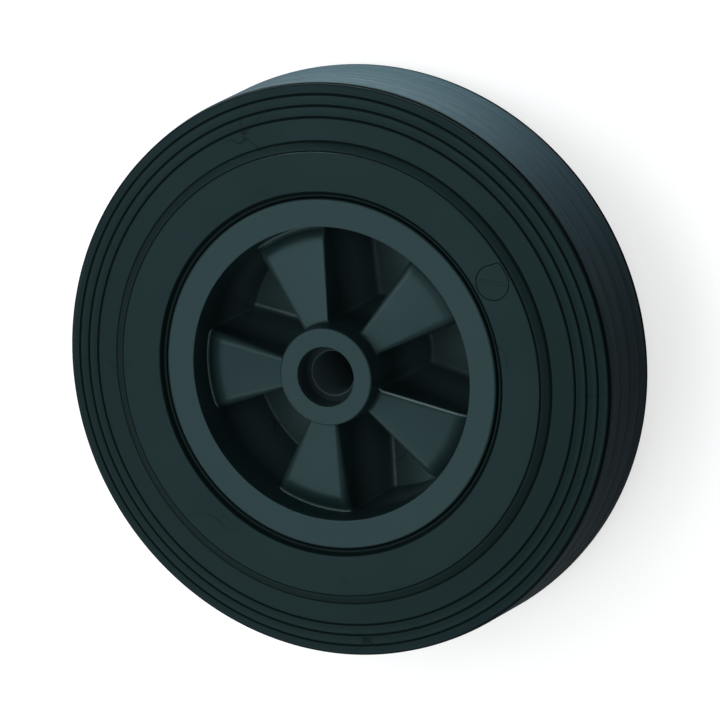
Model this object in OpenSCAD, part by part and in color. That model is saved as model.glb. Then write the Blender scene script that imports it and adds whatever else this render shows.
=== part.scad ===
// Castor wheel: a solid rubber tyre on a one-piece moulded plastic rim.
// The bore axis is Z, the side that shows the front webs is +Z, and the origin is the wheel's centre.
// Sizes are millimetres, angles are degrees.

/* [Wheel] */
// Diameter over the tread
wheel_d = 200; // [196:1:220]
// Length of the hub from end to end
hub_len = 57; // [54:0.5:62]

/* [Hub] */
// Outer diameter of the hub at its two ends
hub_d = 34; // [32:0.5:36]
// Diameter of the plain bore for the axle
bore_d = 15.5; // [12:0.1:17]
// Diameter of the wider seat at each end of the bore
seat_d = 20; // [18.5:0.1:22]
// Depth of each of those seats
seat_depth = 6.5; // [3:0.5:12]

/* [Rim] */
// Outer diameter of the rim's flanges
flange_d = 121.8; // [119:0.2:124]
// Width of the rim over its two flanges
rim_w = 47.7; // [46:0.1:48.5]
// Diameter of the open mouth inside a flange
mouth_d = 102.1; // [101:0.1:104]
// Diameter of the channel that the tyre sits in
channel_d = 109; // [108:0.5:111]

/* [Web] */
// Number of front webs, with as many rear webs between them
web_count = 5; // [5:1:5]
// Angle that a front web covers at its face
web_angle = 32.2; // [30:0.1:34]
// Angle of the first front web from +X
web_start = 38.8; // [0:0.1:72]
// Wall thickness of the webs
web_t = 2.6; // [2:0.1:3.2]
// Height of a front web's face where it meets the hub
web_hub_z = 21.1; // [20:0.1:22]
// Height of a front web's face at its outer end
web_end_z = 16.7; // [16:0.1:17.5]
// Height at which a front web's rolled end meets the barrel
ledge_z = 13.7; // [12.5:0.1:14]
// Depth of the front pockets' floor below the wheel's centre
floor_z = 20.6; // [19:0.1:21]

/* [Tyre] */
// Width of the tyre over its two side bands
tyre_w = 49.2; // [48.8:0.1:51]
// Width of the tread
tread_w = 35; // [33:0.5:36]
// Number of ribs around the tread
tread_ribs = 4; // [3:1:5]
// Depth of the grooves between those ribs
tread_groove = 0.6; // [0.3:0.1:1]
// Number of fine ring grooves on each side
side_rings = 3; // [1:1:3]

/* [Hidden] */
$fn = 144;

wheel_r = wheel_d / 2;
hub_half = hub_len / 2;
hub_r = hub_d / 2;
flange_r = flange_d / 2;
rim_half = rim_w / 2;
mouth_r = mouth_d / 2;
channel_r = channel_d / 2;
reach = 2 * wheel_r;

// Edge sizes of the moulding
hub_edge = 0.6;
flange_edge = 0.7;
mouth_edge = 0.35;
seat_edge = 0.43;
bore_edge = 0.3;
core = 4;

// Channel for the tyre: the inner faces of the flanges lean a little
channel_half = 19;
flange_in_half = 19.4;

// Draft of the hub and of the barrel's inner wall, which lets both halves of the mould open
hub_root_r = hub_r + 0.25;
hub_deep_r = hub_r + 1.2;
ledge_r = mouth_r - 0.85;
floor_r = mouth_r - 2.35;
draft = 1.3;
draft_z = 19;

// A front web's face falls from the hub and rolls over gently at its outer end: the roll is the arc
// that leaves the face smoothly and ends just short of the barrel
face_end_r = 43.9;
face_slope = atan((web_hub_z - web_end_z) / (face_end_r - hub_root_r));
roll_end_r = ledge_r - 0.6;
roll_chord = norm([roll_end_r - face_end_r, web_end_z - ledge_z]);
roll_half_turn = atan((web_end_z - ledge_z) / (roll_end_r - face_end_r)) - face_slope;
roll_r = roll_chord / (2 * sin(roll_half_turn));
roll_turn = face_slope + 2 * roll_half_turn;
roll_steps = 8;
web_edge = 1.3;

// The rear webs' outer face lies just inside the rear flange
rear_z = floor_z + web_t;

// Sizes of the tyre's side, from the flange out to the tread
side_half = tyre_w / 2;
tread_half = tread_w / 2;
lip_r = flange_r + 2.7;
band_r = flange_r + 16;
step_r = flange_r + 19.7;
step_z = 22.1;
shoulder_r = wheel_r - 0.7;
shoulder_z = tread_half + 0.05;
ring_pitch = 3.8;
ring_depth = 0.65;
ring_half = 0.5;
ring_crest = 0.12;
gutter = 1.1;
gutter_w = 1.6;

// Points of an arc about a centre, from one angle to another
function arc(cx, cy, r, from, to, steps) =
    [for (i = [0 : steps]) let (a = from + (to - from) * i / steps) [cx + r * cos(a), cy + r * sin(a)]];

// A half outline and its mirror image across the wheel's mid-plane
function mirrored(half) = concat(half, [for (i = [len(half) - 1 : -1 : 0]) [half[i].x, -half[i].y]]);

// Angle of a front web's centre line
function web_dir(i) = web_start + 360 / web_count * i;

// Height of the tyre's flat side slope at a radius
function side_z(r) = step_z + (shoulder_z - step_z) * (r - step_r) / (shoulder_r - step_r);

// One fine ring groove in the side slope, with the low crest that follows it
function ring_groove(r) = [
    [r - ring_half, side_z(r - ring_half)],
    [r - 0.1, side_z(r) - ring_depth],
    [r + 0.1, side_z(r) - ring_depth],
    [r + ring_half, side_z(r + ring_half)],
    [r + ring_pitch / 2, side_z(r + ring_pitch / 2) + ring_crest]
];

// One groove between two tread ribs, then the middle of the next rib
function tread_cut(z, pitch) = [
    [wheel_r - 0.1, z + 1.3],
    [wheel_r - tread_groove, z + 0.4],
    [wheel_r - tread_groove, z - 0.4],
    [wheel_r - 0.1, z - 1.3],
    [wheel_r, z - pitch / 2]
];

// Centre line of the roll at a web's outer end
roll_cx = face_end_r - roll_r * sin(face_slope);
roll_cz = web_end_z - roll_r * cos(face_slope);

// The rim before its pockets are opened: hub, dished web, barrel and flanges
module rim_blank() {
    rotate_extrude() polygon(concat(
        [[core, hub_half], [hub_r - hub_edge, hub_half], [hub_r, hub_half - hub_edge],
         [hub_root_r, web_hub_z]],
        arc(roll_cx, roll_cz, roll_r, 90 - face_slope, 90 - roll_turn, roll_steps),
        [[ledge_r, ledge_z], [mouth_r, rim_half - mouth_edge], [mouth_r + mouth_edge, rim_half],
         [flange_r - flange_edge, rim_half], [flange_r, rim_half - flange_edge],
         [flange_r, flange_in_half], [channel_r, channel_half],
         [channel_r, -channel_half], [flange_r, -flange_in_half],
         [flange_r, flange_edge - rim_half], [flange_r - flange_edge, -rim_half],
         [mouth_r + mouth_edge, -rim_half], [mouth_r, mouth_edge - rim_half],
         [mouth_r - 0.05, -rear_z], [hub_root_r, -rear_z],
         [hub_r, hub_edge - hub_half], [hub_r - hub_edge, -hub_half], [core, -hub_half]]
    ));
}

// All space within an angle either side of +X, between two leaning planes
// lean > 0 widens it towards -Z, and inset moves both planes inwards
module sector(half_angle, lean, inset) {
    intersection_for (side = [0, 1])
        mirror([0, side, 0]) translate([0, 0, draft_z]) rotate([0, 0, half_angle]) rotate([lean, 0, 0])
            translate([-reach, -2 * reach - inset, -reach]) cube([2 * reach, 2 * reach, 2 * reach]);
}

// Space over all the rear webs, open to the front
module front_pockets() {
    intersection() {
        rotate_extrude() polygon([
            [hub_deep_r, -floor_z], [floor_r, -floor_z], [ledge_r, ledge_z],
            [ledge_r + 0.3, rim_half - 2], [ledge_r - 5, hub_half], [hub_r + 1, hub_half],
            [hub_root_r, web_hub_z]
        ]);
        for (i = [0 : web_count - 1])
            rotate([0, 0, web_dir(i + 0.5)]) sector(180 / web_count - web_angle / 2, -draft, 0);
    }
}

// Space under all the front webs, open to the rear
module rear_pockets() {
    intersection() {
        rotate_extrude() polygon(concat(
            [[hub_root_r + 0.2, -hub_half], [hub_root_r, -rear_z], [hub_deep_r, web_hub_z - web_t - 0.2]],
            arc(roll_cx, roll_cz, roll_r - web_t, 90 - face_slope, 90 - roll_turn, roll_steps / 2),
            [[floor_r + 0.5, ledge_z - web_t], [mouth_r - 0.1, -rear_z],
             [mouth_r - 0.1, -rim_half + 0.3], [mouth_r - 6, -hub_half]]
        ));
        for (i = [0 : web_count - 1])
            rotate([0, 0, web_dir(i)]) sector(web_angle / 2, draft, web_t);
    }
}

// What is taken off one long edge of a front web to blunt it
module edge_cut() {
    run = face_end_r - hub_root_r + 2;
    translate([0, 0, draft_z]) rotate([0, 0, web_angle / 2]) rotate([draft, 0, 0])
        translate([hub_root_r + 0.3, 0, web_hub_z - draft_z]) rotate([0, face_slope, 0])
            rotate([-45, 0, 0]) translate([0, -2 * web_edge, -web_edge / sqrt(2)])
                cube([run, 4 * web_edge, 2 * web_edge]);
}

// Plain bore with a wider seat and a small edge chamfer at each end
module bore() {
    cylinder(r = bore_d / 2, h = 2 * hub_len, center = true);
    for (end = [0, 1]) mirror([0, 0, end]) {
        translate([0, 0, hub_half - seat_depth]) cylinder(r = seat_d / 2, h = seat_depth + 1);
        translate([0, 0, hub_half - seat_edge])
            cylinder(r1 = seat_d / 2, r2 = seat_d / 2 + seat_edge + 1, h = seat_edge + 1);
        translate([0, 0, hub_half - seat_depth - bore_edge])
            cylinder(r1 = bore_d / 2, r2 = bore_d / 2 + bore_edge + 0.1, h = bore_edge + 0.1);
    }
}

module rim() {
    color("#324242")
        difference() {
            difference() {
                rim_blank();
                front_pockets();
                rear_pockets();
                bore();
            }
            for (i = [0 : web_count - 1]) rotate([0, 0, web_dir(i)]) {
                edge_cut();
                mirror([0, 1, 0]) edge_cut();
            }
        }
}

module tyre() {
    first_ring = shoulder_r - 3.3 - ring_pitch * (side_rings - 1);
    pitch = 2 * tread_half / tread_ribs;
    seat_and_side = concat(
        [[channel_r, channel_half], [flange_r, flange_in_half],
         [flange_r, rim_half - 2.2], [flange_r + 0.35, rim_half - 2.2],
         [flange_r + 0.6, rim_half - 0.7], [flange_r + 1.3, rim_half - 0.5],
         [flange_r + 1.8, rim_half - 1.2], [flange_r + 2.1, rim_half - 1.2],
         [lip_r, side_half - 0.3], [lip_r + 0.4, side_half],
         [band_r, side_half], [band_r + 0.6, side_half - 0.4],
         [band_r + 1.5, side_half - 1.2], [band_r + 2.1, side_half - 1.3],
         [step_r - 0.4, step_z + 0.25]],
        [for (i = [0 : side_rings - 1]) each ring_groove(first_ring + ring_pitch * i)],
        [[shoulder_r, shoulder_z], [shoulder_r + 0.35, shoulder_z - 0.25],
         [wheel_r - gutter, shoulder_z - 0.5], [wheel_r - gutter, shoulder_z - gutter_w + 0.3],
         [wheel_r - 0.1, shoulder_z - gutter_w - 0.3]]
    );
    side = mirrored(seat_and_side);
    half_count = len(seat_and_side);
    tread = [for (i = [1 : tread_ribs - 1]) each tread_cut(tread_half - pitch * i, pitch)];
    color("#212d2d")
        rotate_extrude() polygon(concat(
            [for (i = [0 : half_count - 1]) side[i]],
            [[wheel_r, tread_half - pitch / 2 - 0.5]],
            tread,
            [for (i = [half_count : 2 * half_count - 1]) side[i]]
        ));
}

rim();
tyre();
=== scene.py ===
import math

import bmesh
import bpy
from mathutils import Matrix, Vector


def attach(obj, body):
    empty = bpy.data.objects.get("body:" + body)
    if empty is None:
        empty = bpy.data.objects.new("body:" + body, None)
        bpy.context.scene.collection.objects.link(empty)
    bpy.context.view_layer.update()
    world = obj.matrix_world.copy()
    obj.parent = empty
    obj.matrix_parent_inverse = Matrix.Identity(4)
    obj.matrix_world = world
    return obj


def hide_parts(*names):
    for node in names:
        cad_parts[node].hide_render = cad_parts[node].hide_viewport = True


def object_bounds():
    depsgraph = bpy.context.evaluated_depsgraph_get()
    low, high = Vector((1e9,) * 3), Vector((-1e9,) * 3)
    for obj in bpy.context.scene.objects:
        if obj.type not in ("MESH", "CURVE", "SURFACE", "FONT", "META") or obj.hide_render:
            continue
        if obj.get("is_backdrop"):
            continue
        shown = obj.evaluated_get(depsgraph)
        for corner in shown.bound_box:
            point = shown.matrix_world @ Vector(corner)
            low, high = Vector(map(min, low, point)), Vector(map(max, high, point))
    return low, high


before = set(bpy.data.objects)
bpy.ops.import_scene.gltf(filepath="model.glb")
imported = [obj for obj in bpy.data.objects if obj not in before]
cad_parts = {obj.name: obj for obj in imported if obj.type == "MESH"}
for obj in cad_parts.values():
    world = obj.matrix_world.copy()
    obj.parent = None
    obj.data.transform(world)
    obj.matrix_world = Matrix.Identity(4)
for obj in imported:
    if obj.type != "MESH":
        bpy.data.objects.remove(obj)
cad_low, cad_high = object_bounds()
MM = 0.001

# Camera. The wheel is seen from the front right and a little from above, from so far away that
# lines keep their length from front to back, with a long lens that fills the frame with the wheel.
view_tilt = math.radians(26.40)
view_turn = math.radians(27.73)
view_distance = 5.444
view_aim = (9.874 * MM, 4.798 * MM)
rim_front_height = 23.85 * MM

about_axis = Matrix.Rotation(view_turn, 3, "Z")
view_basis = about_axis @ Matrix.Rotation(view_tilt, 3, "Y") @ about_axis.inverted()
view_right, view_up, view_back = view_basis.col
view_target = Vector((0, 0, rim_front_height)) + view_right * view_aim[0] + view_up * view_aim[1]
camera_data = bpy.data.cameras.new("camera")
camera_data.lens = 800
camera_data.sensor_width = 36
camera_data.clip_end = 50
camera = bpy.data.objects.new("camera", camera_data)
place = view_basis.to_4x4()
place.translation = view_target + view_back * view_distance
camera.matrix_world = place
bpy.context.collection.objects.link(camera)
bpy.context.scene.camera = camera
bpy.context.scene.view_settings.view_transform = "Standard"

# Rim. One grey polypropylene moulding: a hub tube, five dished front webs with five flat rear webs
# between them, the thin near-axial walls that join them, and a barrel with two flanges. Two mould
# halves that part along the axis shape it, so every wall leans a little and every edge is rounded.
hub_half = 28.5
hub_r = 17.0
hub_edge = 0.6
hub_root_r = 17.25
hub_deep_r = 18.2
bore_r = 7.75
bore_edge = 0.3
seat_r = 10.0
seat_depth = 6.5
seat_edge = 0.43
lead_in = 1.9
flange_r = 60.9
flange_edge = 0.7
flange_in_half = 19.4
rim_half = 23.85
channel_r = 54.5
channel_half = 19.0
mouth_r = 51.05
mouth_edge = 0.25
web_count = 5
web_half_angle = 16.1
web_first = 38.8
web_t = 2.6
web_hub_z = 21.1
web_end_z = 16.7
web_end_r = 43.9
roll_r = 10.2
roll_end_turn = math.radians(46)
ledge_r = 50.2
ledge_z = 13.7
floor_z = -20.6
floor_r = 48.7
rear_z = floor_z - web_t
draft_lean = math.tan(math.radians(1.3))
draft_z = 19.0
edge_round_at_hub = 1.2
edge_round_at_end = 3.0
sharp_edge_share = 0.25
front_corner = 1.5
rear_edge_round = 1.3
rear_corner = 1.3
hub_fillet = 1.3
barrel_fillet = 0.6
rear_hub_fillet = 1.0
rear_barrel_fillet = 0.22

half_pitch = 180 / web_count
panel_steps, round_steps, wall_steps, corner_steps, floor_steps = 7, 7, 7, 5, 7


def line_between(points, height):
    """Radius at a height on an outline given as (height, radius) points from low to high."""
    if height <= points[0][0]:
        return points[0][1]
    for (low, r_low), (high, r_high) in zip(points, points[1:]):
        if height <= high:
            return r_low + (r_high - r_low) * (height - low) / (high - low)
    return points[-1][1]


def front_hub(z):
    return line_between([(floor_z, hub_deep_r), (web_hub_z, hub_root_r), (hub_half - hub_edge, hub_r)], z)


def front_barrel(z):
    return line_between([(floor_z, floor_r), (ledge_z, ledge_r), (rim_half - mouth_edge, mouth_r)], z)


def rear_hub(z):
    root = (rear_z, hub_root_r)
    return line_between([(hub_edge - hub_half, hub_r), root, (web_hub_z - web_t, hub_deep_r)], z)


def rear_barrel(z):
    return line_between([(rear_z, mouth_r - 0.05), (ledge_z - web_t, floor_r + 0.5)], z)


def steps_between(a, b, count):
    return [a + (b - a) * i / count for i in range(count + 1)]


def round_edge(size):
    """A web's long edge as a quarter circle: (across, up) from the sharp corner, in mm."""
    turns = [math.radians(a) for a in steps_between(90, 0, round_steps)]
    return [(size * (math.cos(a) - 1), size * (math.sin(a) - 1)) for a in turns]


# One edge has a thin bead of flash standing on it, with a fine line beside it
beaded_edge = [(-1.7, 0), (-1.25, -0.06), (-1.0, -0.34), (-0.8, -0.3), (-0.62, 0.12), (-0.35, 0.26),
               (-0.08, 0.1), (0, -0.25)]


def web_row(top, floor, shift, lift, edge, inner, radius_at):
    """Half a pitch of the web at one station, from the middle of a front web to that of a rear web.

    Each point is (angle, radius, height). The line is the web's face moved out by lift, so that
    the same line also makes the fillets at the hub and the barrel.
    """
    inner = inner - lift
    top, floor = top + lift, floor + lift

    def wall(z):
        return shift + lift + (draft_z - z) * draft_lean

    def at(across, z):
        r = radius_at(z)
        return (web_half_angle + math.degrees(math.asin(across / r)), r, z)

    bend_z = top + edge[-1][1]
    foot_across, foot_z = wall(floor + inner) + inner, floor + inner
    foot = [math.radians(a) for a in steps_between(180, 270, corner_steps)]
    bend_points = [at(wall(bend_z) + across, top + up) for across, up in edge]
    foot_points = [at(foot_across + inner * math.cos(a), foot_z + inner * math.sin(a)) for a in foot]
    panel_end = bend_points[0][0]
    margin = math.degrees(0.35 / radius_at(top))
    panel = [(a, radius_at(top), top) for a in steps_between(0, panel_end - margin, panel_steps - 1)]
    wall_points = []
    for z in steps_between(bend_z, foot_z, wall_steps)[1:-1]:
        wall_points.append(at(wall(z), z))
    floor_start = foot_points[-1][0]
    flat = [(a, radius_at(floor), floor)
            for a in steps_between(floor_start + margin, half_pitch, floor_steps - 1)]
    return panel + bend_points + wall_points + foot_points + flat


spread = (steps_between(0, 13.2, panel_steps)[:-1] + steps_between(13.2, 16.8, round_steps)
          + steps_between(16.8, 26, wall_steps)[1:-1] + steps_between(26, 28.6, corner_steps)
          + steps_between(28.6, half_pitch, floor_steps)[1:])


def ring_row(r, z):
    return [(a, r, z) for a in spread]


def rows_between(first, last, count, radius_at):
    """Rows on a wall between two rows, where the wall's radius follows the height."""
    rows = []
    for i in range(1, count):
        f = i / count
        row = []
        for (a0, r0, z0), (a1, r1, z1) in zip(first, last):
            z = z0 + (z1 - z0) * f
            row.append((a0 + (a1 - a0) * f, radius_at(z), z))
        rows.append(row)
    return rows


def web_rows(stations, floor, shift, side, edge_at, inner, hub_at, barrel_at, at_hub, at_barrel):
    """All rows of one side of the web, from the hub's wall out to the barrel's wall."""
    first_r, first_z = stations[0]
    rows = []
    for a in steps_between(90, 0, 5)[:-1]:
        lift = side * at_hub * (1 - math.cos(math.radians(a)))
        out = at_hub * (1 - math.sin(math.radians(a)))
        edge = edge_at(first_r, lift)
        rows.append(web_row(first_z, floor, shift, lift, edge, inner, lambda z: hub_at(z) + out))
    for r, z_face in stations:
        inside, outside = hub_at(z_face) + at_hub, barrel_at(z_face) - at_barrel
        part = (r - inside) / (outside - inside)

        def radius_at(z):
            low, high = hub_at(z) + at_hub, barrel_at(z) - at_barrel
            return low + (high - low) * part

        rows.append(web_row(z_face, floor, shift, 0, edge_at(r, 0), inner, radius_at))
    last_r, last_z = stations[-1]
    for a in steps_between(0, 90, 5)[1:]:
        lift = side * at_barrel * (1 - math.cos(math.radians(a)))
        back = at_barrel * (1 - math.sin(math.radians(a)))
        edge = edge_at(last_r, lift)
        rows.append(web_row(last_z, floor, shift, lift, edge, inner, lambda z: barrel_at(z) - back))
    return rows


# The front web's face falls straight from the hub and rolls over at its outer end, down to the barrel
face_fall = (web_hub_z - web_end_z) / (web_end_r - hub_root_r)
face_slope = math.atan(face_fall)
front_stations = []
for r in steps_between(hub_root_r + hub_fillet, web_end_r - 0.4, 9) + [web_end_r]:
    front_stations.append((r, web_hub_z - (r - hub_root_r) * face_fall))
roll_centre = (web_end_r - roll_r * math.sin(face_slope), web_end_z - roll_r * math.cos(face_slope))
for a in steps_between(face_slope, roll_end_turn, 9)[1:]:
    front_stations.append((roll_centre[0] + roll_r * math.sin(a), roll_centre[1] + roll_r * math.cos(a)))

rear_stations = []
for r in steps_between(hub_deep_r + rear_hub_fillet, web_end_r - 1.0, 8):
    rear_stations.append((r, web_hub_z - web_t - 0.2 - (r - hub_deep_r) * face_fall))
under_r = roll_r - web_t
for a in steps_between(face_slope, roll_end_turn, 6):
    rear_stations.append((roll_centre[0] + under_r * math.sin(a), roll_centre[1] + under_r * math.cos(a)))
rear_stations.append((floor_r + 0.5 - rear_barrel_fillet, ledge_z - web_t))


def edge_rows(r, z, size, quarter, count=4):
    """Rings of a rounded edge about a centre, turning a quarter from one direction to the next."""
    turns = steps_between(math.radians(quarter), math.radians(quarter - 90), count)
    return [ring_row(r + size * math.cos(a), z + size * math.sin(a)) for a in turns]


def grown_edge(share):
    """The long edge of a front web: its rounding grows from the hub out to the web's end."""
    def edge_at(r, lift):
        along = min(1, max(0, (r - hub_root_r) / (web_end_r - hub_root_r)))
        size = edge_round_at_hub + (edge_round_at_end - edge_round_at_hub) * along
        return round_edge(size * share + lift)
    return edge_at


def front_rows(edge_at):
    """Rows from the hub's front face out to the mouth of the barrel, for one kind of long edge."""
    front = web_rows(front_stations, floor_z, 0, 1, edge_at, front_corner,
                     front_hub, front_barrel, hub_fillet, barrel_fillet)
    top = [ring_row(r, hub_half) for r in (seat_r + seat_edge + 0.15, hub_r - hub_edge - 0.3)]
    top += edge_rows(hub_r - hub_edge, hub_half - hub_edge, hub_edge, 90)
    mouth = rows_between(front[-1], ring_row(mouth_r, rim_half - mouth_edge), 9, front_barrel)
    return top + rows_between(top[-1], front[0], 9, front_hub) + front + mouth


rear = web_rows(rear_stations, rear_z, -web_t, -1, lambda r, lift: round_edge(rear_corner + lift),
                rear_edge_round, rear_hub, rear_barrel, rear_hub_fillet, rear_barrel_fillet)
plain_front = front_rows(grown_edge(1))
sharp_front = front_rows(grown_edge(sharp_edge_share))
beaded_front = front_rows(lambda r, lift: beaded_edge)
rows = list(plain_front)
rows += [ring_row(mouth_r + mouth_edge * (1 - math.cos(a)), rim_half - mouth_edge * (1 - math.sin(a)))
         for a in steps_between(0, math.pi / 2, 3)]
rows += [ring_row(mouth_r + mouth_edge + 0.3, rim_half), ring_row(flange_r - flange_edge - 0.3, rim_half)]
rows += edge_rows(flange_r - flange_edge, rim_half - flange_edge, flange_edge, 90)
rows += [ring_row(flange_r, flange_in_half), ring_row(channel_r, channel_half),
         ring_row(channel_r, 0), ring_row(channel_r, -channel_half), ring_row(flange_r, -flange_in_half)]
rows += edge_rows(flange_r - flange_edge, flange_edge - rim_half, flange_edge, 0)
rows += [ring_row(flange_r - flange_edge - 0.3, -rim_half), ring_row(mouth_r + mouth_edge + 0.3, -rim_half)]
rows += [ring_row(mouth_r + mouth_edge * (1 - math.sin(a)), mouth_edge * (1 - math.cos(a)) - rim_half)
         for a in steps_between(0, math.pi / 2, 3)]
rows += rear[::-1]
rows += rows_between(rear[0], ring_row(hub_r, hub_edge - hub_half), 5, rear_hub)
rows += edge_rows(hub_r - hub_edge, hub_edge - hub_half, hub_edge, 0)
rows += [ring_row(r, -hub_half) for r in (hub_r - hub_edge - 0.3, seat_r + seat_edge + 0.15)]

seat_z = hub_half - seat_depth
bore_outline = [(seat_r + seat_edge, hub_half), (seat_r + seat_edge - 0.06, hub_half - 0.12),
                (seat_r + 0.1, hub_half - lead_in), (seat_r, hub_half - lead_in - 0.4), (seat_r, seat_z + 0.3),
                (seat_r - 0.08, seat_z + 0.09), (seat_r - 0.3, seat_z), (bore_r + bore_edge + 0.2, seat_z),
                (bore_r + bore_edge, seat_z), (bore_r, seat_z - bore_edge), (bore_r, seat_z - 0.8)]
rows += [ring_row(r, -z) for r, z in bore_outline] + [ring_row(r, z) for r, z in bore_outline[::-1]]

# The columns of one half pitch, seen forwards and mirrored, fill each pitch of the ring
columns = len(spread)
order = []
for pitch in range(web_count):
    middle = web_first + 360 / web_count * pitch
    order += [(pitch, middle, 1, i) for i in range(columns)]
    next_web = ((pitch + 1) % web_count, middle + 360 / web_count)
    order += [(*next_web, -1, i) for i in range(columns - 2, 0, -1)]
odd_edges = {(1, -1): sharp_front, (4, 1): beaded_front}
verts = []
for row_number, row in enumerate(rows):
    for pitch, middle, way, i in order:
        kind = odd_edges.get((pitch, way))
        a, r, z = kind[row_number][i] if kind and row_number < len(kind) else row[i]
        turned = math.radians(middle + way * a)
        verts.append((r * math.cos(turned) * MM, r * math.sin(turned) * MM, z * MM))
around = len(order)
faces = []
for j in range(len(rows)):
    for i in range(around):
        k, n = (j + 1) % len(rows), (i + 1) % around
        faces.append((j * around + i, k * around + i, k * around + n, j * around + n))
rim_mesh = bpy.data.meshes.new("rim_moulding")
rim_mesh.from_pydata(verts, [], faces)
rim_mesh.shade_smooth()
rim = bpy.data.objects.new("rim_moulding", rim_mesh)
bpy.context.collection.objects.link(rim)

shell = bmesh.new()
shell.from_mesh(rim_mesh)
bmesh.ops.recalc_face_normals(shell, faces=shell.faces)
shell.to_mesh(rim_mesh)
shell.free()

# Where the moulding is painted lighter: a little real wear on the long edges of the front webs, and painted
# highlights on the bead, on the lips at the webs' ends and on two lines at the feet of their walls
hub_front_rows = 2 + 5 + 8
web_last_row = hub_front_rows + 5 + len(front_stations) + 4
lip_rows = range(web_last_row - 2, web_last_row)
bend_columns = range(panel_steps, panel_steps + round_steps)
bead_columns = range(panel_steps + 3, panel_steps + 7)
foot_columns = range(columns - floor_steps - 2, columns - floor_steps)


# Share of the lighter edge colour: the faint share on the bend columns is wear, and every larger share is a
# painted highlight.
def wear_and_highlight_share(row_number, pitch, way, i):
    if row_number in lip_rows and pitch in (2, 3) and i < panel_steps + 4:
        return 1.3
    if row_number in lip_rows and pitch == 1:
        return 1.0
    if row_number in range(web_last_row - 6, web_last_row) and pitch == 1 and i < panel_steps:
        return 0.22
    if row_number in lip_rows and (pitch, way) in ((2, 1), (3, -1)) and i >= columns - floor_steps:
        return 2.2
    if hub_front_rows <= row_number < web_last_row and (pitch, way) in ((2, -1), (3, 1)) and i in foot_columns:
        return 1.7
    if hub_front_rows + 2 <= row_number < web_last_row:
        if (pitch, way) == (4, 1):
            return 0.9 if i in bead_columns else 0.0
        return 0.03 if i in bend_columns else 0.0
    return 0.0


wear_and_highlight_mask = []
bore_mask = []
for row_number, row in enumerate(rows):
    inside_bore = len(rows) - 2 * len(bore_outline) + 2 <= row_number < len(rows) - 2
    for pitch, middle, way, i in order:
        wear_and_highlight_mask.append(wear_and_highlight_share(row_number, pitch, way, i) if row_number < len(plain_front) else 0.0)
        bore_mask.append(1.0 if inside_bore else 0.0)
edge_wear_and_highlight = rim_mesh.attributes.new("edge_wear_and_highlight", "FLOAT", "POINT")
edge_wear_and_highlight.data.foreach_set("value", wear_and_highlight_mask)
bore_shade = rim_mesh.attributes.new("bore_shade", "FLOAT", "POINT")
bore_shade.data.foreach_set("value", bore_mask)


def skin_group():
    """Skin of a moulded part: soft clouds of tone, a fine grain and a few fine curved scratches."""
    group = bpy.data.node_groups.new("moulded_skin", "ShaderNodeTree")
    for name, kind in (("Vector", "NodeSocketVector"), ("Cloud size", "NodeSocketFloat"),
                       ("Grain size", "NodeSocketFloat"), ("Scratch size", "NodeSocketFloat")):
        group.interface.new_socket(name, in_out="INPUT", socket_type=kind)
    for name in ("Cloud", "Grain", "Scratch"):
        group.interface.new_socket(name, in_out="OUTPUT", socket_type="NodeSocketFloat")
    nodes, links = group.nodes, group.links
    inside, outside = nodes.new("NodeGroupInput"), nodes.new("NodeGroupOutput")

    def noise(size, detail, roughness):
        """Noise whose scale is one over a size in metres."""
        scale = nodes.new("ShaderNodeMath")
        scale.operation = "DIVIDE"
        scale.inputs[0].default_value = 1
        links.new(inside.outputs[size], scale.inputs[1])
        made = nodes.new("ShaderNodeTexNoise")
        made.inputs["Detail"].default_value = detail
        made.inputs["Roughness"].default_value = roughness
        links.new(inside.outputs["Vector"], made.inputs["Vector"])
        links.new(scale.outputs[0], made.inputs["Scale"])
        return made

    cloud = noise("Cloud size", 4, 0.55)
    spread_out = nodes.new("ShaderNodeMapRange")
    spread_out.inputs["From Min"].default_value = 0.3
    spread_out.inputs["From Max"].default_value = 0.7
    links.new(cloud.outputs["Fac"], spread_out.inputs["Value"])
    links.new(spread_out.outputs["Result"], outside.inputs["Cloud"])
    grain = noise("Grain size", 3, 0.6)
    links.new(grain.outputs["Fac"], outside.inputs["Grain"])

    # A scratch runs where a smooth noise passes through its middle value, in some places only
    path = noise("Scratch size", 2, 0.4)
    off_middle = nodes.new("ShaderNodeMath")
    off_middle.operation = "SUBTRACT"
    off_middle.inputs[1].default_value = 0.5
    links.new(path.outputs["Fac"], off_middle.inputs[0])
    far = nodes.new("ShaderNodeMath")
    far.operation = "ABSOLUTE"
    links.new(off_middle.outputs[0], far.inputs[0])
    line = nodes.new("ShaderNodeMapRange")
    line.inputs["From Min"].default_value = 0.006
    line.inputs["From Max"].default_value = 0.001
    links.new(far.outputs[0], line.inputs["Value"])
    patch = nodes.new("ShaderNodeMapRange")
    patch.inputs["From Min"].default_value = 0.58
    patch.inputs["From Max"].default_value = 0.66
    links.new(cloud.outputs["Fac"], patch.inputs["Value"])
    both = nodes.new("ShaderNodeMath")
    both.operation = "MULTIPLY"
    links.new(line.outputs["Result"], both.inputs[0])
    links.new(patch.outputs["Result"], both.inputs[1])
    links.new(both.outputs[0], outside.inputs["Scratch"])
    return group


moulded_skin = skin_group()


def mix_node(tree, kind, first, second, share):
    """A mix of two values or colours; each of the three inputs is a number, a colour or a socket."""
    node = tree.nodes.new("ShaderNodeMix")
    node.data_type = kind
    node.clamp_factor = True
    sockets = [s for s in node.inputs if s.enabled]
    for socket, given in zip(sockets, (share, first, second)):
        if isinstance(given, bpy.types.NodeSocket):
            tree.links.new(given, socket)
        else:
            socket.default_value = given
    return next(s for s in node.outputs if s.enabled)


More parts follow.
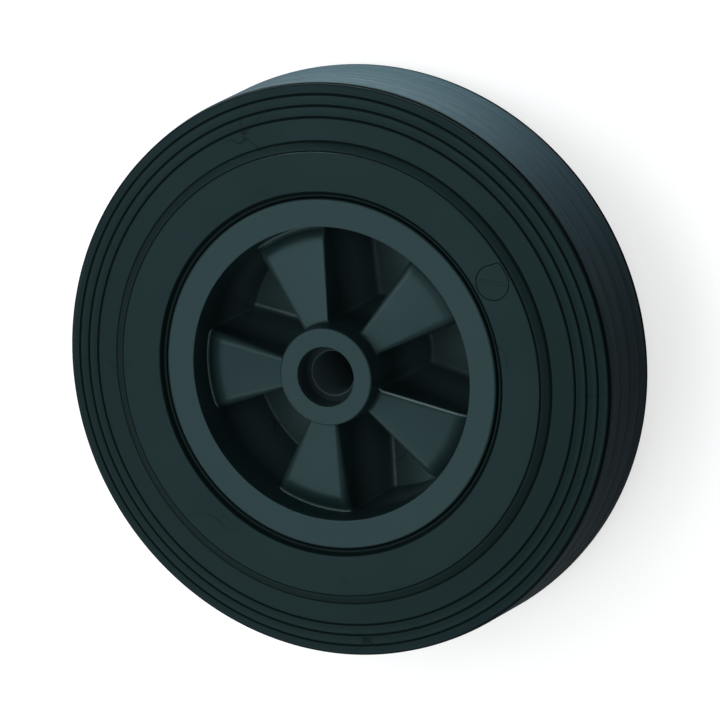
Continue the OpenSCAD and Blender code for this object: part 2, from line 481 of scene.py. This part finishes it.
def placed_skin(tree, cloud_size, grain_size, scratch_size):
    """The skin group placed in a material, on Object coordinates."""
    place = tree.nodes.new("ShaderNodeTexCoord")
    skin = tree.nodes.new("ShaderNodeGroup")
    skin.node_tree = moulded_skin
    skin.inputs["Cloud size"].default_value = cloud_size
    skin.inputs["Grain size"].default_value = grain_size
    skin.inputs["Scratch size"].default_value = scratch_size
    tree.links.new(place.outputs["Object"], skin.inputs["Vector"])
    return place, skin


def math_node(tree, operation, *given):
    """One step of arithmetic; each input is a number or a socket."""
    node = tree.nodes.new("ShaderNodeMath")
    node.operation = operation
    for socket, value in zip(node.inputs, given):
        if isinstance(value, bpy.types.NodeSocket):
            tree.links.new(value, socket)
        else:
            socket.default_value = value
    return node.outputs[0]


def range_node(tree, value, low, high, to_low=0.0, to_high=1.0):
    node = tree.nodes.new("ShaderNodeMapRange")
    tree.links.new(value, node.inputs["Value"])
    for name, number in (("From Min", low), ("From Max", high), ("To Min", to_low), ("To Max", to_high)):
        node.inputs[name].default_value = number
    return node.outputs["Result"]


def polar_nodes(tree, place):
    """Turn, radius and height about the wheel's axis, from Object coordinates."""
    parts = tree.nodes.new("ShaderNodeSeparateXYZ")
    tree.links.new(place.outputs["Object"], parts.inputs["Vector"])
    x, y, z = parts.outputs
    squares = math_node(tree, "ADD", math_node(tree, "MULTIPLY", x, x), math_node(tree, "MULTIPLY", y, y))
    return math_node(tree, "ARCTAN2", y, x), math_node(tree, "SQRT", squares), z


rim_finish = bpy.data.materials.new("rim_polypropylene")
rim_finish.use_nodes = True
tree = rim_finish.node_tree
shader = tree.nodes["Principled BSDF"]
place, skin = placed_skin(tree, 0.016, 0.0006, 0.03)
wear_and_highlight_attr = tree.nodes.new("ShaderNodeAttribute")
wear_and_highlight_attr.attribute_name = "edge_wear_and_highlight"
clouded = mix_node(tree, "RGBA", (0.0080, 0.0182, 0.0196, 1), (0.0110, 0.0220, 0.0234, 1),
                   skin.outputs["Cloud"])
turn, radius, z = polar_nodes(tree, place)
# Painted light: the pockets between the webs get a much paler colour, standing in for light that the lamps do
# not bring into them.
in_pocket = math_node(tree, "MULTIPLY", range_node(tree, z, 0.010, -0.006),
                      range_node(tree, z, -0.0225, -0.0215))
pocket_painted_light = mix_node(tree, "RGBA", clouded, (0.060, 0.100, 0.105, 1), in_pocket)
# Painted highlight with a little wear: the edge attribute, broken up by the grain, lightens the edges, the
# bead and the lips.
lightened = tree.nodes.new("ShaderNodeMath")
lightened.operation = "MULTIPLY"
tree.links.new(wear_and_highlight_attr.outputs["Fac"], lightened.inputs[0])
tree.links.new(skin.outputs["Grain"], lightened.inputs[1])
with_wear_and_highlight = mix_node(tree, "RGBA", pocket_painted_light, (0.20, 0.28, 0.29, 1), lightened.outputs[0])
scratched = mix_node(tree, "RGBA", with_wear_and_highlight, (0.025, 0.035, 0.035, 1), skin.outputs["Scratch"])
# Painted shade and light in the bore: the seat and its step are painted dark so that they show no lit ring,
# and the deep bore is painted paler. The whole bore is also matt.
bore_dark = tree.nodes.new("ShaderNodeAttribute")
bore_dark.attribute_name = "bore_shade"
bore_tone = mix_node(tree, "RGBA", (0.010, 0.017, 0.018, 1), (0.060, 0.092, 0.098, 1),
                     range_node(tree, radius, 0.0081, 0.0078))
bore_painted_shade_and_light = mix_node(tree, "RGBA", scratched, bore_tone, bore_dark.outputs["Fac"])
tree.links.new(bore_painted_shade_and_light, shader.inputs["Base Color"])
gloss = tree.nodes.new("ShaderNodeMapRange")
gloss.inputs["To Min"].default_value = 0.32
gloss.inputs["To Max"].default_value = 0.40
tree.links.new(skin.outputs["Cloud"], gloss.inputs["Value"])
matt = mix_node(tree, "FLOAT", gloss.outputs["Result"], 0.9, bore_dark.outputs["Fac"])
tree.links.new(matt, shader.inputs["Roughness"])
shader.inputs["Specular IOR Level"].default_value = 0.22
shader.inputs["Specular Tint"].default_value = (0.6, 1.0, 1.05, 1)
relief = tree.nodes.new("ShaderNodeBump")
relief.inputs["Distance"].default_value = 0.00004
relief.inputs["Strength"].default_value = 0.5
tree.links.new(skin.outputs["Grain"], relief.inputs["Height"])
tree.links.new(relief.outputs["Normal"], shader.inputs["Normal"])
rim_mesh.materials.append(rim_finish)
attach(rim, "root")
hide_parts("rim")

# Tyre. One ring of solid black rubber, pressed and cured in a mould and held by its grip on the rim's
# channel. Each side has a proud flat band, a small step, three ring grooves and a lip; the tread has
# soft ribs, with a deep gutter where it meets each lip.
wheel_r = 100.0
side_half = 24.6
band_in_r = 63.4
band_out_r = 77.0
line_r = 77.35
step_mid_r = 78.9
step_out_r = 80.6
step_z = 22.1
lip_out_r = 99.3
lip_z = 17.55
ring_radii = (88.4, 92.2, 96.0)
ring_depth = 0.65
ring_half_w = 0.5
gutter_r = 98.9
tread_grooves = (8.75, 0.0)
tread_groove_depth = 0.3
tyre_steps = 288
tyre_path_r = 80.0


def slope_z(r):
    """Height of the smooth slope between the step and the lip."""
    return step_z + (lip_z - step_z) * (r - step_out_r) / (lip_out_r - step_out_r)


def rounded(points, steps=4):
    """An outline of (r, z, depth, size) corners, where depth is the share of painted groove shade, with each
    corner of size > 0 turned into an arc.
    """
    outline = []
    for i, (r, z, depth, size) in enumerate(points):
        if size == 0:
            outline.append((r, z, depth))
            continue
        before, after = Vector(points[i - 1][:2]), Vector(points[(i + 1) % len(points)][:2])
        here = Vector((r, z))
        way_in, way_out = (before - here).normalized(), (after - here).normalized()
        turn = way_in.angle(way_out)
        cut = min(size / math.tan(turn / 2), 0.48 * (before - here).length, 0.48 * (after - here).length)
        size = cut * math.tan(turn / 2)
        centre = here + (way_in + way_out).normalized() * size / math.sin(turn / 2)
        start, end = here + way_in * cut - centre, here + way_out * cut - centre
        sweep = start.angle_signed(end)
        for k in range(steps + 1):
            spoke = Matrix.Rotation(-sweep * k / steps, 2) @ start
            outline.append((centre.x + spoke.x, centre.y + spoke.y, depth))
    return outline


side = [(channel_r, channel_half, 0, 0), (flange_r, flange_in_half, 0, 0),
        (flange_r, rim_half - 2.2, 1, 0), (flange_r + 0.35, rim_half - 2.2, 1, 0),
        (flange_r + 0.6, rim_half - 0.85, 0.8, 0.15), (flange_r + 1.3, rim_half - 0.6, 0.45, 0.3),
        (flange_r + 1.75, rim_half - 1.3, 0.9, 0.1), (flange_r + 2.05, rim_half - 1.3, 0.9, 0.1),
        (band_in_r, side_half, 0, 0.5),
        (band_out_r, side_half, 0, 0.35), (line_r, side_half - 0.75, 1, 0.05),
        (line_r + 0.35, side_half - 0.45, 0, 0.2), (step_mid_r, side_half - 1.15, 0.2, 0.3),
        (step_out_r - 0.7, step_z + 0.75, 0, 0.35), (step_out_r - 0.1, step_z - 0.3, 1, 0.06),
        (step_out_r + 0.35, slope_z(step_out_r + 0.35), 0, 0.25)]
for r in ring_radii:
    side += [(r - 1.3, slope_z(r - 1.3), 0, 0), (r - ring_half_w, slope_z(r - ring_half_w) + 0.08, 0, 0.2),
             (r, slope_z(r) - ring_depth, 1, 0.09),
             (r + ring_half_w, slope_z(r + ring_half_w) + 0.14, 0, 0.2), (r + 1.3, slope_z(r + 1.3), 0, 0)]
side += [(lip_out_r - 0.4, slope_z(lip_out_r - 0.4), 0, 0),
         (lip_out_r, lip_z, 0.85, 0.3), (lip_out_r + 0.3, lip_z - 0.4, 0.95, 0.1),
         (gutter_r, lip_z - 0.55, 1, 0.1), (gutter_r, lip_z - 1.75, 1, 0.1),
         (wheel_r - 0.5, lip_z - 1.82, 1, 0.08), (wheel_r - 0.14, lip_z - 2.5, 0, 0.4),
         (wheel_r, lip_z - 4.2, 0, 0)]
half_tread = []
for z in tread_grooves:
    wall = [(wheel_r, z + 2.2, 0, 0), (wheel_r - 0.04, z + 1.5, 0, 0),
            (wheel_r - tread_groove_depth, z + 0.3, 0, 0.5)]
    half_tread += [(wheel_r, z + 4.0, 0, 0)] + wall
    if z > 0:
        half_tread += [(r, 2 * z - h, deep, size) for r, h, deep, size in wall[::-1]]
half = side + half_tread
outline = rounded(half + [(r, -z, deep, size) for r, z, deep, size in half[::-1]])

profile_mesh = bpy.data.meshes.new("tyre_profile")
profile_mesh.from_pydata([((r - tyre_path_r) * MM, z * MM, 0) for r, z, deep in outline],
                         [(i, (i + 1) % len(outline)) for i in range(len(outline))], [])
# The groove attribute holds each point's share of painted groove shade.
groove_shade_share = profile_mesh.attributes.new("groove", "FLOAT", "POINT")
groove_shade_share.data.foreach_set("value", [deep for r, z, deep in outline])
profile = bpy.data.objects.new("tyre_profile", profile_mesh)
bpy.context.collection.objects.link(profile)

rubber = bpy.data.materials.new("tyre_rubber")

ring_tree = bpy.data.node_groups.new("tyre_ring", "GeometryNodeTree")
ring_tree.is_modifier = True
ring_tree.interface.new_socket("Geometry", in_out="INPUT", socket_type="NodeSocketGeometry")
path_socket = ring_tree.interface.new_socket("Path radius", in_out="INPUT", socket_type="NodeSocketFloat")
steps_socket = ring_tree.interface.new_socket("Steps around", in_out="INPUT", socket_type="NodeSocketInt")
ring_tree.interface.new_socket("Geometry", in_out="OUTPUT", socket_type="NodeSocketGeometry")
ring_in = ring_tree.nodes.new("NodeGroupInput")
path = ring_tree.nodes.new("GeometryNodeCurvePrimitiveCircle")
section = ring_tree.nodes.new("GeometryNodeMeshToCurve")
sweep = ring_tree.nodes.new("GeometryNodeCurveToMesh")
smooth = ring_tree.nodes.new("GeometryNodeSetShadeSmooth")
single = ring_tree.nodes.new("GeometryNodeRealizeInstances")
finish_node = ring_tree.nodes.new("GeometryNodeSetMaterial")
finish_node.inputs["Material"].default_value = rubber
ring_out = ring_tree.nodes.new("NodeGroupOutput")
ring_tree.links.new(ring_in.outputs["Geometry"], section.inputs["Mesh"])
ring_tree.links.new(ring_in.outputs["Path radius"], path.inputs["Radius"])
ring_tree.links.new(ring_in.outputs["Steps around"], path.inputs["Resolution"])
ring_tree.links.new(path.outputs["Curve"], sweep.inputs["Curve"])
ring_tree.links.new(section.outputs["Curve"], sweep.inputs["Profile Curve"])
ring_tree.links.new(sweep.outputs["Mesh"], smooth.inputs["Geometry"])
ring_tree.links.new(smooth.outputs["Geometry"], single.inputs["Geometry"])
ring_tree.links.new(single.outputs["Geometry"], finish_node.inputs["Geometry"])
ring_tree.links.new(finish_node.outputs["Geometry"], ring_out.inputs["Geometry"])
turn_ring = profile.modifiers.new("turn_ring", "NODES")
turn_ring.node_group = ring_tree
turn_ring[path_socket.identifier] = tyre_path_r * MM
turn_ring[steps_socket.identifier] = tyre_steps
drawn = profile.evaluated_get(bpy.context.evaluated_depsgraph_get())
tyre_mesh = bpy.data.meshes.new_from_object(drawn)
profile.modifiers.remove(turn_ring)
bpy.data.objects.remove(profile)
tyre_mesh.name = "tyre_ring"
tyre = bpy.data.objects.new("tyre_ring", tyre_mesh)
bpy.context.collection.objects.link(tyre)
casting = bmesh.new()
casting.from_mesh(tyre_mesh)
bmesh.ops.recalc_face_normals(casting, faces=casting.faces)
casting.to_mesh(tyre_mesh)
casting.free()

# Round blank of the mould in the front band: a fine ring with a shallow bar across it
blank_r = 70.43
blank_turn = math.radians(29.26)
blank_ring_r = 6.05
blank_run_out = 108
blank_limit_r = 76.42
blank_groove_w = 0.3
blank_groove_depth = 0.32
bar_turn = math.radians(-5.7)
bar_half_length = 5.1
bar_half_w = 0.62
bar_depth = 0.10
blank_centre = Vector((blank_r * math.cos(blank_turn), blank_r * math.sin(blank_turn)))


def cut_loop(outer_top, inner_top, outer_deep, inner_deep, depth):
    """A closed ring-shaped cutter between two loops, wide above the band and narrow at its bottom."""
    # The last number of each point is its share of painted groove shade.
    loops = [(outer_top, 0.3, 0.4), (inner_top, 0.3, 0.4), (inner_deep, -depth, 1), (outer_deep, -depth, 1)]
    count = len(outer_top)
    points = [(x, y, side_half + up, deep) for loop, up, deep in loops for x, y in loop]
    quads = []
    for j in range(4):
        for i in range(count):
            k, n = (j + 1) % 4, (i + 1) % count
            quads.append((j * count + i, k * count + i, k * count + n, j * count + n))
    return points, quads


def cut_bar(centre, turn, half_length, half_w, depth):
    """A cutter for a shallow bar with leaning ends and sides."""
    points = []
    for up, grow, deep in ((0.3, 0.3 / depth * 0.2, 0.4), (-depth, -0.2, 0.4)):
        for a, b in ((-1, -1), (1, -1), (1, 1), (-1, 1)):
            along, across = a * (half_length + grow), b * (half_w + grow)
            x = centre.x + along * math.cos(turn) - across * math.sin(turn)
            y = centre.y + along * math.sin(turn) + across * math.cos(turn)
            points.append((x, y, side_half + up, deep))
    quads = [(0, 1, 2, 3), (4, 7, 6, 5)] + [(i, i + 4, (i + 1) % 4 + 4, (i + 1) % 4) for i in range(4)]
    return points, quads


def blank_outline(out):
    """The ring's line, moved out a little. In one place it runs straight on to the band's edge."""
    line = []
    for a in steps_between(0, 360, 90)[:-1]:
        spoke = Vector((math.cos(math.radians(a)), math.sin(math.radians(a))))
        reach = blank_ring_r + out
        if math.degrees(blank_turn) < a < blank_run_out:
            edge_r = blank_limit_r + out
            along = blank_centre.dot(spoke)
            to_edge = math.sqrt(along ** 2 - blank_centre.length_squared + edge_r ** 2) - along
            reach = min(reach / math.cos(math.radians(blank_run_out - a)), to_edge)
        line.append(tuple(blank_centre + spoke * reach))
    return line


cutters = [cut_loop(blank_outline(blank_groove_w), blank_outline(-blank_groove_w),
                    blank_outline(0.05), blank_outline(-0.05), blank_groove_depth),
           cut_bar(blank_centre + Vector((0.4, 0.05)), bar_turn, bar_half_length, bar_half_w, bar_depth)]
cut_points, cut_faces = [], []
for points, quads in cutters:
    cut_faces += [tuple(i + len(cut_points) for i in quad) for quad in quads]
    cut_points += points
cutter_mesh = bpy.data.meshes.new("blank_cutter")
cutter_mesh.from_pydata([(x * MM, y * MM, z * MM) for x, y, z, deep in cut_points], [], cut_faces)
cut_shade_share = cutter_mesh.attributes.new("groove", "FLOAT", "POINT")
cut_shade_share.data.foreach_set("value", [deep for x, y, z, deep in cut_points])
cutter_mesh.materials.append(rubber)
tool = bmesh.new()
tool.from_mesh(cutter_mesh)
bmesh.ops.recalc_face_normals(tool, faces=tool.faces)
tool.to_mesh(cutter_mesh)
tool.free()
cutter = bpy.data.objects.new("blank_cutter", cutter_mesh)
bpy.context.collection.objects.link(cutter)
press = tyre.modifiers.new("press", "BOOLEAN")
press.operation = "DIFFERENCE"
press.solver = "EXACT"
press.object = cutter
pressed = bpy.data.meshes.new_from_object(tyre.evaluated_get(bpy.context.evaluated_depsgraph_get()))
tyre.modifiers.remove(press)
tyre.data = pressed
bpy.data.meshes.remove(tyre_mesh)
bpy.data.objects.remove(cutter)
tyre_mesh = pressed
tyre_mesh.name = "tyre_ring"
casting = bmesh.new()
casting.from_mesh(tyre_mesh)
for edge in casting.edges:
    near = (edge.verts[0].co.xy / MM - blank_centre).length < blank_ring_r + 1
    if near and edge.verts[0].co.z > 0.024 and edge.calc_face_angle(0) > math.radians(8):
        edge.smooth = False
casting.to_mesh(tyre_mesh)
casting.free()

rubber.use_nodes = True
tree = rubber.node_tree
shader = tree.nodes["Principled BSDF"]
place, skin = placed_skin(tree, 0.03, 0.0005, 0.022)

# Streaks that run around the tyre: a noise that is drawn out along the turn
turn, radius, z = polar_nodes(tree, place)
drawn_out = tree.nodes.new("ShaderNodeCombineXYZ")
tree.links.new(math_node(tree, "MULTIPLY", turn, 2.2), drawn_out.inputs["X"])
tree.links.new(math_node(tree, "MULTIPLY", z, 900), drawn_out.inputs["Y"])
tree.links.new(math_node(tree, "MULTIPLY", radius, 700), drawn_out.inputs["Z"])
streak = tree.nodes.new("ShaderNodeTexNoise")
streak.inputs["Scale"].default_value = 1.0
streak.inputs["Detail"].default_value = 5
streak.inputs["Roughness"].default_value = 0.6
tree.links.new(drawn_out.outputs["Vector"], streak.inputs["Vector"])
on_tread = range_node(tree, radius, 0.0978, 0.0990)
streaks = range_node(tree, streak.outputs["Fac"], 0.35, 0.7)

# Painted shade: the groove attribute paints the grooves, the gutters, the gap beside the rim's flange and the
# blank's cuts near black, and makes them matt.
cavity = tree.nodes.new("ShaderNodeAttribute")
cavity.attribute_name = "groove"
clouded = mix_node(tree, "RGBA", (0.0020, 0.0076, 0.0081, 1), (0.0030, 0.0093, 0.0098, 1),
                   skin.outputs["Cloud"])
dusty = math_node(tree, "MULTIPLY", math_node(tree, "MULTIPLY", streaks, on_tread), 0.8)
tread_tone = mix_node(tree, "RGBA", clouded, (0.0020, 0.0082, 0.0117, 1), on_tread)
lightened = mix_node(tree, "RGBA", tread_tone, (0.014, 0.022, 0.028, 1), dusty)
side_scratch = math_node(tree, "MULTIPLY", skin.outputs["Scratch"], range_node(tree, on_tread, 0, 1, 0.6, 0))
scratched = mix_node(tree, "RGBA", lightened, (0.0004, 0.0008, 0.0012, 1), side_scratch)
shaded = mix_node(tree, "RGBA", scratched, (0.0008, 0.0012, 0.0012, 1), cavity.outputs["Fac"])
tree.links.new(shaded, shader.inputs["Base Color"])
tread_gloss = range_node(tree, streaks, 0, 1, 0.74, 0.60)
side_gloss = range_node(tree, skin.outputs["Cloud"], 0, 1, 0.5, 0.58)
matt = mix_node(tree, "FLOAT", side_gloss, tread_gloss, on_tread)
scuffed = mix_node(tree, "FLOAT", matt, 0.75, skin.outputs["Scratch"])
tree.links.new(mix_node(tree, "FLOAT", scuffed, 0.95, cavity.outputs["Fac"]), shader.inputs["Roughness"])
shader.inputs["Specular IOR Level"].default_value = 0.21
shader.inputs["Specular Tint"].default_value = (0.6, 1.0, 1.05, 1)
relief = tree.nodes.new("ShaderNodeBump")
relief.inputs["Distance"].default_value = 0.00006
relief.inputs["Strength"].default_value = 0.5
height = math_node(tree, "ADD", skin.outputs["Grain"], math_node(tree, "MULTIPLY", streaks, on_tread))
tree.links.new(height, relief.inputs["Height"])
tree.links.new(relief.outputs["Normal"], shader.inputs["Normal"])
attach(tyre, "root")
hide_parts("tyre")

# Floor and light. The wheel lies on its rear hub end on a pale sheet in a plain white room. Large soft
# lamps stand to the left and above, weaker ones overhead and by the camera, and a low strip lamp
# close to the paper lights the top of the tread from behind, as in the photo.
floor_mesh = bpy.data.meshes.new("floor")
floor_size = 6.0
corners = [(-1, -1), (1, -1), (1, 1), (-1, 1)]
floor_mesh.from_pydata([(x * floor_size, y * floor_size, cad_low.z) for x, y in corners], [], [(0, 1, 2, 3)])
floor = bpy.data.objects.new("floor", floor_mesh)
bpy.context.collection.objects.link(floor)
paper = bpy.data.materials.new("floor_paper")
paper.use_nodes = True
tree = paper.node_tree
sheet = tree.nodes["Principled BSDF"]
sheet.inputs["Base Color"].default_value = (0.50, 0.50, 0.50, 1)
sheet.inputs["Roughness"].default_value = 0.9
light_path = tree.nodes.new("ShaderNodeLightPath")
sheet.inputs["Emission Color"].default_value = (1, 1, 1, 1)
tree.links.new(math_node(tree, "MULTIPLY", light_path.outputs["Is Camera Ray"], 0.64),
               sheet.inputs["Emission Strength"])
floor_mesh.materials.append(paper)
floor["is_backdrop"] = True

room = bpy.data.worlds.new("room")
room.use_nodes = True
tree = room.node_tree
backdrop = tree.nodes["Background"]
light_path = tree.nodes.new("ShaderNodeLightPath")
to_camera = math_node(tree, "MULTIPLY", light_path.outputs["Is Camera Ray"], 0.75)
to_gloss = math_node(tree, "MULTIPLY", light_path.outputs["Is Glossy Ray"], 0.08)
brightness = math_node(tree, "ADD", math_node(tree, "ADD", to_camera, to_gloss), 0.25)
tree.links.new(brightness, backdrop.inputs["Strength"])
backdrop.inputs["Color"].default_value = (1, 1, 1, 1)
bpy.context.scene.world = room

for name, azimuth, height, away, aim_out, wide, high, power in (
        ("left_top_lamp", 157, 60, 2.0, 0, 1.0, 1.0, 11.0), ("left_low_lamp", 228, 53, 2.0, 0, 1.3, 1.3, 12.2),
        ("top_lamp", 138, 32, 2.0, 0, 0.9, 0.9, 2.5), ("right_top_lamp", 47, 56, 2.0, 0, 0.9, 0.9, 1.0),
        ("overhead_lamp", 184, 81, 2.0, 0, 0.6, 0.6, 3.6), ("fill_lamp", 28, 64, 2.0, 0, 1.0, 1.0, 3.5),
        ("paper_lamp", 91, -5.5, 0.22, 0.11, 0.24, 0.01, 1.08)):
    lamp_data = bpy.data.lights.new(name, "AREA")
    lamp_data.shape = "RECTANGLE"
    lamp_data.size = wide
    lamp_data.size_y = high
    lamp_data.energy = power
    lamp_data.color = (0.93, 0.98, 1.0)
    lamp = bpy.data.objects.new(name, lamp_data)
    turn, rise = math.radians(azimuth), math.radians(height)
    outward = Vector((math.cos(turn), math.sin(turn), 0))
    lamp.location = (outward * math.cos(rise) + Vector((0, 0, math.sin(rise)))) * away
    lamp_aim = outward * aim_out + Vector((0, 0, cad_low.z))
    lamp.rotation_euler = (lamp_aim - lamp.location).to_track_quat("-Z", "Y").to_euler()
    bpy.context.collection.objects.link(lamp)

# Size of the dressed wheel, beside the CAD model's size taken above
low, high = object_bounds()
